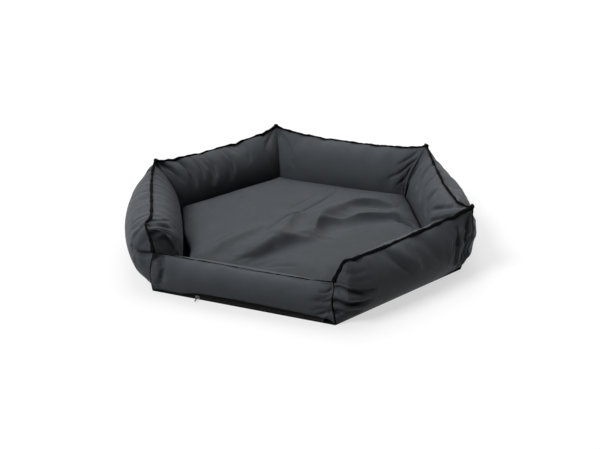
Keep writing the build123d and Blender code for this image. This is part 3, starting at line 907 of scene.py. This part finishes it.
cushion_creases = (
    (0.0045, -0.005, (-0.046, -0.17), (-0.033, -0.1), (-0.022, -0.042), (0.002, -0.004)),
    (0.0045, -0.004, (-0.01, -0.04), (0.004, 0.04), (0.022, 0.12), (0.03, 0.21)),
    (0.0045, -0.002, (-0.06, -0.03), (-0.036, 0.05), (-0.012, 0.15)),
    (0.006, -0.004, (-0.172, -0.31), (-0.154, -0.262), (-0.13, -0.205)),
    (0.006, -0.003, (-0.206, 0.0), (-0.213, 0.04), (-0.214, 0.076)),
    (0.007, -0.004, (-0.066, -0.325), (-0.045, -0.305), (-0.02, -0.285)),
    (0.006, -0.002, (0.02, -0.318), (0.06, -0.306), (0.1, -0.3)),
    (0.007, -0.012, (0.258, 0.078), (0.28, 0.074), (0.3, 0.074), (0.326, 0.062)),
)


def cushion_rim():
    """Cushion's outline in plan: its middle, directions, and its reach in each, low down and at the seam."""
    band = frame["nodes"]["mattress_side_band"].data.vertices
    top = max(v.co.z for v in band)
    points = [Vector(v.co.xy) for v in band if v.co.z > top - level_tolerance]
    hull = np.array([points[i] for i in geometry.convex_hull_2d(points)])
    middle = (hull.min(axis=0) + hull.max(axis=0)) / 2
    loop = np.concatenate([hull, hull[:1]])
    line, places = resample(np.column_stack([loop, np.zeros(len(loop))]), outline_step)
    out = line[:-1, :2] - middle
    angles = np.arctan2(out[:, 1], out[:, 0])
    order = np.argsort(angles)
    angles = angles[order]
    reach = np.hypot(*out.T)[order] - cushion_inset
    towards, half_angle, distance = edge_pull
    pull = distance * np.exp(-((angles - towards) / half_angle) ** 2)
    return middle, angles, reach - pull, np.maximum(reach, well_reach(middle, angles) - well_gap) - pull


def well_reach(middle, angles):
    """How far the well is open in each direction, from the cushion's seam up."""
    walls = np.concatenate([
        bolster.grid[:, bolster.rim_row:bolster.rows].reshape(-1, 3) for bolster, *rest in bolsters.values()
    ])
    out = walls[walls[:, 2] > cushion_seam_height - cell][:, :2] - middle
    turned, away = np.arctan2(out[:, 1], out[:, 0]), np.hypot(*out.T)
    gaps = np.abs((turned - angles[:, None] + math.pi) % math.tau - math.pi)
    return np.where(gaps < well_window, away, np.inf).min(axis=1)


def cushion_shares(points, middle, angles, reach):
    """How far out each point is, as a share of the distance from the middle to the seam line."""
    out = points[:, :2] - middle
    turned = np.arctan2(out[:, 1], out[:, 0])
    return np.hypot(*out.T) / np.interp(turned, angles, reach, period=math.tau)


def crown(shares):
    inner, outer = crown_power
    return cushion_seam_height + cushion_crown * np.clip(1 - shares ** inner, 0, 1) ** outer


def smooth_step(values):
    values = np.clip(values, 0, 1)
    return values * values * (3 - 2 * values)


def cushion_solid(middle, angles, floor_reach, reach):
    """Closed plain cushion: rings from the middle of its floor round to the middle of its top."""
    side = np.linspace(0, 1, side_rings)
    levels = [(centre_share, 0.0), (floor_share, 0.0), (1 - cushion_tuck, 0.0)]
    levels += [(1 - cushion_tuck * (1 - part) ** 2, part) for part in side[1:]]
    rings = []
    for share, part in levels:
        rings.append((
            share * (floor_reach + (reach - floor_reach) * part),
            cushion_floor + part * (cushion_seam_height - cushion_floor),
        ))
    for share in 1 - np.linspace(0, 1, top_rings)[1:] ** 2:
        rings.append((max(share, centre_share) * reach, float(crown(share))))
    points = [
        (middle[0] + r * math.cos(a), middle[1] + r * math.sin(a), z)
        for ring, z in rings for a, r in zip(angles, ring)
    ]
    return new_object("mattress", new_mesh("mattress", points, ring_faces(len(rings), len(angles))))


def raise_top(made, middle, angles, reach):
    """Give the cushion's top its crown, its unevenness and its folds."""
    points = mesh_points(made.data)
    shares = cushion_shares(points, middle, angles, reach)
    on_top = (points[:, 2] > cushion_seam_height) * smooth_step((crown_end - shares) / crown_blend)
    points[:, 2] += (crown(np.minimum(shares, 1)) - points[:, 2]) * on_top
    x, y = points[:, 0], points[:, 1]
    lift = billow_height * field(x / billow_spacing, y / billow_spacing, np.zeros_like(x), billow_seed)
    add_folds(lift, x, y, 1.0, cushion_folds, True)
    points[:, 2] += lift * smooth_step((1 - shares) / fold_fade) * (points[:, 2] > cushion_seam_height)
    set_points(made.data, points)
    return points


def cushion_edge(middle, angles, reach):
    line = np.stack([
        middle[0] + reach * np.cos(angles),
        middle[1] + reach * np.sin(angles),
        np.full(len(angles), cushion_seam_height),
    ], axis=1)
    return np.concatenate([line, line[:1]])


def make_cushion():
    middle, angles, floor_reach, reach = cushion_rim()
    made = cushion_solid(middle, angles, floor_reach, reach)
    remesh = made.modifiers.new("remesh", "REMESH")
    remesh.mode = "VOXEL"
    remesh.voxel_size = cushion_voxel
    remesh.use_smooth_shade = True
    keep_evaluated(made)
    start = raise_top(made, middle, angles, reach)
    normals = mesh_normals(made.data)
    held = start[:, 2] < cushion_seam_height + held_rise
    start_cloth(made, held, cushion_slack_share * ~held, cushion_pressure)
    run_cloth([made])
    limit_travel(made, start, normals, cushion_most, cushion_most)
    add_uv(made.data, start[:, 0], start[:, 1])
    subdivide(made)
    points = mesh_points(made.data)
    lift = np.zeros(len(points))
    add_folds(lift, points[:, 0], points[:, 1], 1.0, cushion_creases, True)
    press(made.data, lift * (points[:, 2] > cushion_seam_height + cell))
    line = cushion_edge(middle, angles, reach)
    seam = bead("mattress_seam", line, up_axis, cushion_bead, cushion_bead_seed, "mattress", closed=True)
    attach(made, "mattress")
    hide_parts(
        "mattress_top_panel", "mattress_side_band", "mattress_bottom_panel", "mattress_filling"
    )
    return made, seam


mattress, mattress_seam = make_cushion()
seams.append(mattress_seam)


# Zip: pitch of the coils' turns, half width of their thread, and the steps and sides of its mesh
coil_pitch = 0.00125
coil_thread = 0.00027
coil_steps = 12
coil_sides = 5


def make_coil(name):
    """One half of the zip: a thread wound in an oval helix inside the CAD half's box."""
    low, high = (np.array(corner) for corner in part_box(name))
    middle, half = (low + high) / 2, (high - low) / 2 - coil_thread
    turns = math.floor((high[0] - low[0] - 2 * coil_thread) / coil_pitch)
    turn = np.arange(turns * coil_steps + 1) / coil_steps
    path = np.stack([
        low[0] + coil_thread + turn * coil_pitch,
        middle[1] + half[1] * np.sin(math.tau * turn),
        middle[2] + half[2] * np.cos(math.tau * turn),
    ], axis=1)
    widths = np.full((len(path), 2), coil_thread)
    made = tube(f"{name}_turns", path, (1.0, 0.0, 0.0), widths, sides=coil_sides)
    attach(made, "bed")
    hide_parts(name)
    return made


coils = [make_coil(name) for name in ("zip_upper_coil", "zip_lower_coil")]


# Materials
weave_pitch = 0.0009
base_pitch = 0.0022
tape_pitch = 0.0007
cloth_crinkle = 0.0008
tape_crinkle = 0.0002
# Noise, as scales: uneven dye, thick threads, crinkles and patches of duller cloth
dye_scale, slub_scale, crinkle_scale, cloth_patch_scale = 14.0, 420.0, 34.0, 60.0
dye_share = 0.7
dye_levels = (0.8, 1.22)
# Threads: painted highlight on their raised crests, as a level over the cloth's and the share mixed in, then
# their bump's depth
thread_highlight_level = 1.7
thread_highlight_share = 0.1
thread_depth = 0.00008
cloth_roughness_spread = 0.08
cloth_specular = 0.06
# Stitches beside a rim: distance from it, pitch, half width, what sets the gaps, level and depth
stitch_place = 0.0055
stitch_pitch = 0.0042
stitch_half_width = 0.00045
stitch_gap = -0.35
stitch_level = 0.02
stitch_depth = 0.0004
# Bound seam: pitch and slant of its thread, its fuzz, and how deep both are
bound_pitch = 0.0011
bound_slant = 0.8
fuzz_scale = 900.0
bound_depth = 0.0001
bound_specular = 0.03
# Plated metal and moulded nylon
brush_scale, metal_patch_scale, grain_scale = 2200.0, 500.0, 1500.0
fine_depth = 0.00002
# Darkest and lightest parts of each material's level, and the range of its roughness
brush_levels, brush_roughness = (0.85, 1.1), (-0.08, 0.14)
nylon_levels, nylon_roughness = (0.7, 1.5), (0.3, 0.5)
bound_levels, bound_roughness = (0.6, 1.6), (0.75, 0.95)
no_tint = (1.0, 1.0, 1.0)


def grey(level, tint=no_tint):
    return (*(level * part for part in tint), 1.0)


class Tree:
    """Nodes of a material or world: add() makes a node and joins it to the sockets that it is given."""

    def __init__(self, owner, shader="Principled BSDF"):
        owner.use_nodes = True
        self.owner = owner
        self.nodes = owner.node_tree.nodes
        self.links = owner.node_tree.links
        self.shader = self.nodes[shader]

    def place(self, kind):
        return self.nodes.new("ShaderNodeTexCoord").outputs[kind]

    def add(self, kind, inputs, output=0, **settings):
        made = self.nodes.new(kind)
        for name, value in settings.items():
            setattr(made, name, value)
        for key, value in inputs.items():
            self.set(made.inputs[key], value)
        return made.outputs[output]

    def set(self, socket, value):
        if isinstance(value, bpy.types.NodeSocket):
            self.links.new(value, socket)
        else:
            socket.default_value = value

    def shade(self, inputs):
        """Set the shader's inputs by name, and give the material or world."""
        for name, value in inputs.items():
            self.set(self.shader.inputs[name], value)
        return self.owner

    def math(self, operation, *values):
        return self.add("ShaderNodeMath", dict(enumerate(values)), operation=operation)

    def wave(self, value, pitch):
        """Sine of a value in metres that comes round once in each pitch."""
        return self.math("SINE", self.math("MULTIPLY", value, math.tau / pitch))

    def split(self, vector):
        made = self.nodes.new("ShaderNodeSeparateXYZ")
        self.links.new(vector, made.inputs[0])
        return made.outputs

    def noise(self, scale, detail=2.0):
        inputs = {"Vector": self.place("Object"), "Scale": scale, "Detail": detail}
        return self.add("ShaderNodeTexNoise", inputs)

    def mix(self, factor, first, second):
        """Colour between two colours."""
        return self.add("ShaderNodeMix", {0: factor, 6: first, 7: second}, output=2, data_type="RGBA")

    def tones(self, factor, level, parts, tint=no_tint):
        """Colour between two parts of a level."""
        return self.mix(factor, *(grey(level * part, tint) for part in parts))

    def ranged(self, value, low, high):
        """A 0 to 1 value spread from low to high."""
        return self.add("ShaderNodeMapRange", {"Value": value, "To Min": low, "To Max": high})

    def bump(self, height, distance, normal=None):
        inputs = {"Height": height, "Distance": distance, "Strength": 1.0}
        if normal is not None:
            inputs["Normal"] = normal
        return self.add("ShaderNodeBump", inputs)


def new_tree(name):
    return Tree(bpy.data.materials.new(name))


def woven(name, level, tint, roughness, pitch, uv=True, stitched=False, crinkle=cloth_crinkle):
    """Woven cloth: threads with a painted highlight on their raised crests, uneven dye, fine crinkles, and
    stitches beside the rims where asked.
    """
    tree = new_tree(name)
    u, *rest = tree.split(tree.place("UV" if uv else "Object"))
    v = tree.math("ADD", *rest)
    threads = tree.math("MULTIPLY_ADD", tree.wave(u, pitch), tree.wave(v, pitch), 1.0)
    slub = tree.math("MULTIPLY", tree.noise(slub_scale, detail=1.0), 1 - dye_share)
    shade = tree.math("MULTIPLY_ADD", tree.noise(dye_scale, detail=3.0), dye_share, slub)
    colour = tree.tones(shade, level, dye_levels, tint)
    # Painted highlight: the threads' raised crests are mixed towards a lighter grey
    painted_thread_highlight = tree.math("MULTIPLY", tree.ranged(threads, 0.0, 1.0), thread_highlight_share)
    colour = tree.mix(painted_thread_highlight, colour, grey(level * thread_highlight_level, tint))
    normal = tree.bump(tree.noise(crinkle_scale, detail=4.0), crinkle)
    normal = tree.bump(threads, thread_depth, normal)
    if stitched:
        row = tree.math("COMPARE", tree.math("ABSOLUTE", v), stitch_place, stitch_half_width)
        dash = tree.math("GREATER_THAN", tree.wave(u, stitch_pitch), stitch_gap)
        stitch = tree.math("MULTIPLY", row, dash)
        colour = tree.mix(stitch, colour, grey(stitch_level))
        normal = tree.bump(stitch, stitch_depth, normal)
    low, high = roughness - cloth_roughness_spread, roughness + cloth_roughness_spread
    return tree.shade({
        "Base Color": colour,
        "Roughness": tree.ranged(tree.noise(cloth_patch_scale), low, high),
        "Normal": normal,
        "Specular IOR Level": cloth_specular,
    })


def metal(name, level, roughness):
    """Plated zinc: fine brush marks and duller patches."""
    tree = new_tree(name)
    marks = tree.noise(brush_scale, detail=3.0)
    low, high = (roughness + change for change in brush_roughness)
    return tree.shade({
        "Base Color": tree.tones(marks, level, brush_levels),
        "Roughness": tree.ranged(tree.noise(metal_patch_scale), low, high),
        "Normal": tree.bump(marks, fine_depth),
        "Metallic": 1.0,
    })


def moulded(name, level):
    """Black nylon thread of the zip."""
    tree = new_tree(name)
    grain = tree.noise(grain_scale)
    return tree.shade({
        "Base Color": tree.tones(grain, level, nylon_levels),
        "Roughness": tree.ranged(grain, *nylon_roughness),
        "Normal": tree.bump(grain, fine_depth),
    })


def twisted(name, level):
    """Bound seam: close turns of black thread across the bead."""
    tree = new_tree(name)
    along, around, rest = tree.split(tree.place("UV"))
    turns = tree.wave(tree.math("ADD", along, tree.math("MULTIPLY", around, bound_slant)), bound_pitch)
    fuzz = tree.noise(fuzz_scale, detail=3.0)
    return tree.shade({
        "Base Color": tree.tones(fuzz, level, bound_levels),
        "Roughness": tree.ranged(fuzz, *bound_roughness),
        "Normal": tree.bump(turns, bound_depth, tree.bump(fuzz, bound_depth)),
        "Specular IOR Level": bound_specular,
    })


graphite = (0.91, 1.0, 1.12)
cover = woven("cover_cloth", level=0.063, tint=graphite, roughness=0.46, pitch=weave_pitch, stitched=True)
# Cushion cloth: set darker than the cover cloth to offset the stronger light on its top, a painted shade
cushion_cloth_painted_shade = woven("cushion_cloth_painted_shade", level=0.051, tint=graphite, roughness=0.48, pitch=weave_pitch)
base_cloth = woven("base_cloth", level=0.014, tint=no_tint, roughness=0.75, pitch=base_pitch, uv=False)
tape_cloth = woven(
    "zip_tape", level=0.013, tint=no_tint, roughness=0.7, pitch=tape_pitch, uv=False, crinkle=tape_crinkle,
)
seam_cloth = twisted("seam_cloth", level=0.004)
zip_nylon = moulded("zip_coil", level=0.016)
zip_metal = metal("zip_metal", level=0.2, roughness=0.3)
dark_metal = metal("dark_metal", level=0.05, roughness=0.45)

slot_materials = {
    "cover_cloth": cover, "base_cloth": base_cloth, "seam_cloth": seam_cloth, "stuffing": base_cloth,
    "zip_tape": tape_cloth, "zip_coil": zip_nylon, "zip_metal": zip_metal,
}
node_materials = {"zip_end_stops": dark_metal}
for entry in frame["record"]["subparts"]:
    shown = frame["nodes"][entry["node"]].data
    shown.materials.clear()
    shown.materials.append(node_materials.get(entry["node"], slot_materials[entry["material_slot"]]))
for bolster, made, *rest in bolsters.values():
    made.data.materials.append(cover)
for made in seams:
    made.data.materials.append(seam_cloth)
for made in coils:
    made.data.materials.append(zip_nylon)
mattress.data.materials.append(cushion_cloth_painted_shade)
mattress.data.materials.append(base_cloth)
for face in mattress.data.polygons:
    face.material_index = int(face.center.z < 2 * cushion_floor)

# Camera, as found from the base and rim corners in the photograph
camera_target = Vector((0.0157, -0.0638, 0.08))
camera_azimuth = math.radians(21.5)
camera_elevation = math.radians(24.2)
camera_distance = 3.3704
camera = bpy.data.cameras.new("camera")
camera.lens = 72
camera.sensor_width = 36
camera_object = new_object("camera", camera)
back = Vector((
    math.sin(camera_azimuth) * math.cos(camera_elevation),
    -math.cos(camera_azimuth) * math.cos(camera_elevation),
    math.sin(camera_elevation),
))
camera_object.location = camera_target + back * camera_distance
camera_object.rotation_euler = back.to_track_quat("Z", "Y").to_euler()
bpy.context.scene.camera = camera_object

# Floor, world and light
floor_size = 30
floor_shade = 0.4
floor_shade_range = (0.99, 1.01)
floor_scale = 3.0
floor_roughness = 0.9
floor_glow = 0.6
ambient = 0.015
white = (1, 1, 1, 1)
# Name: where the light comes from, strength and spread
suns = {
    "key": ((-0.62, -0.7, 1.0), 2.05, math.radians(26)),
    "back": ((0.0, 0.84, 1.0), 1.6, math.radians(60)),
    "side": ((-0.73, 0.42, 1.0), 1.0, math.radians(60)),
}


def seen_directly(tree):
    """1 for a ray from the camera, a reflection or glass, and 0 for light that falls on the object."""
    path = tree.nodes.new("ShaderNodeLightPath").outputs
    seen = tree.math("MAXIMUM", path["Is Camera Ray"], path["Is Glossy Ray"])
    return tree.math("MAXIMUM", seen, path["Is Transmission Ray"])


def make_floor():
    half = floor_size / 2
    points = [(-half, -half, 0), (half, -half, 0), (half, half, 0), (-half, half, 0)]
    mesh = new_mesh("floor", points, [(0, 1, 2, 3)])
    made = new_object("floor", mesh)
    tree = new_tree("floor")
    shade = tree.tones(tree.noise(floor_scale), floor_shade, floor_shade_range)
    tree.shade({"Base Color": shade, "Roughness": floor_roughness, "Specular IOR Level": 0.0})
    shown = tree.math("MULTIPLY", seen_directly(tree), floor_glow)
    glow = tree.add("ShaderNodeEmission", {"Strength": shown})
    both = tree.add("ShaderNodeAddShader", {0: tree.shader.outputs[0], 1: glow})
    tree.links.new(both, tree.nodes["Material Output"].inputs["Surface"])
    mesh.materials.append(tree.owner)


def make_world():
    world = bpy.data.worlds.new("world")
    bpy.context.scene.world = world
    tree = Tree(world, "Background")
    tree.shade({"Color": white, "Strength": tree.ranged(seen_directly(tree), ambient, 1.0)})


def make_sun(name, towards, strength, spread):
    light = bpy.data.lights.new(name, "SUN")
    light.energy = strength
    light.angle = spread
    made = new_object(name, light)
    made.rotation_euler = Vector(towards).to_track_quat("Z", "Y").to_euler()


make_floor()
make_world()
for name, (towards, strength, spread) in suns.items():
    make_sun(name, towards, strength, spread)
bpy.context.scene.view_settings.view_transform = "Standard"
